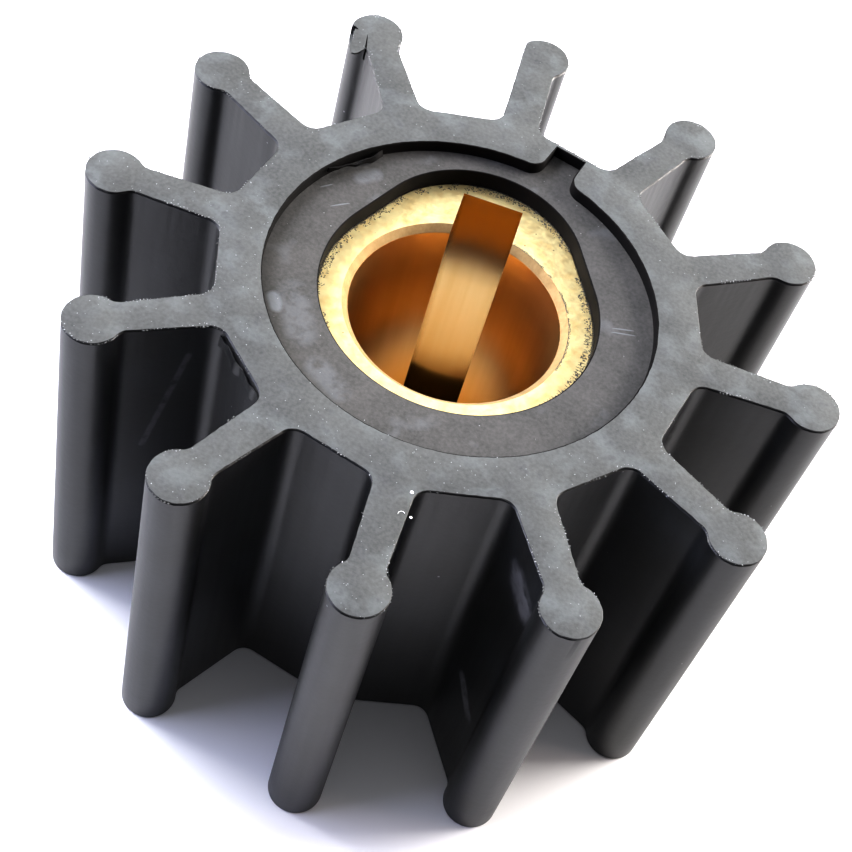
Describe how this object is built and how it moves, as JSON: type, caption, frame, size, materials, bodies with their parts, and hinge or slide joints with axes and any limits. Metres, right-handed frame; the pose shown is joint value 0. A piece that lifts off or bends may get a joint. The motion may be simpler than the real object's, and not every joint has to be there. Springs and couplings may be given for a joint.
{
  "type": "rubber pump impeller",
  "caption": "Flexible rubber pump impeller with straight round-ended blades round a hub that is bonded to a keyed brass insert.",
  "frame": {"origin": "on the shaft axis at the lower end face", "axes": "+Z along the shaft axis towards the end face with the notch; the keyway points along +Y"},
  "size_m": [0.0572, 0.0572, 0.0311],
  "materials": {
    "rubber": "moulded sides, ground end faces",
    "brass": "faced ends, reamed bore, broached keyway"
  },
  "bodies": {
    "root": {"rubber_body": "rubber", "brass_insert": "brass"}
  },
  "joints": []
}
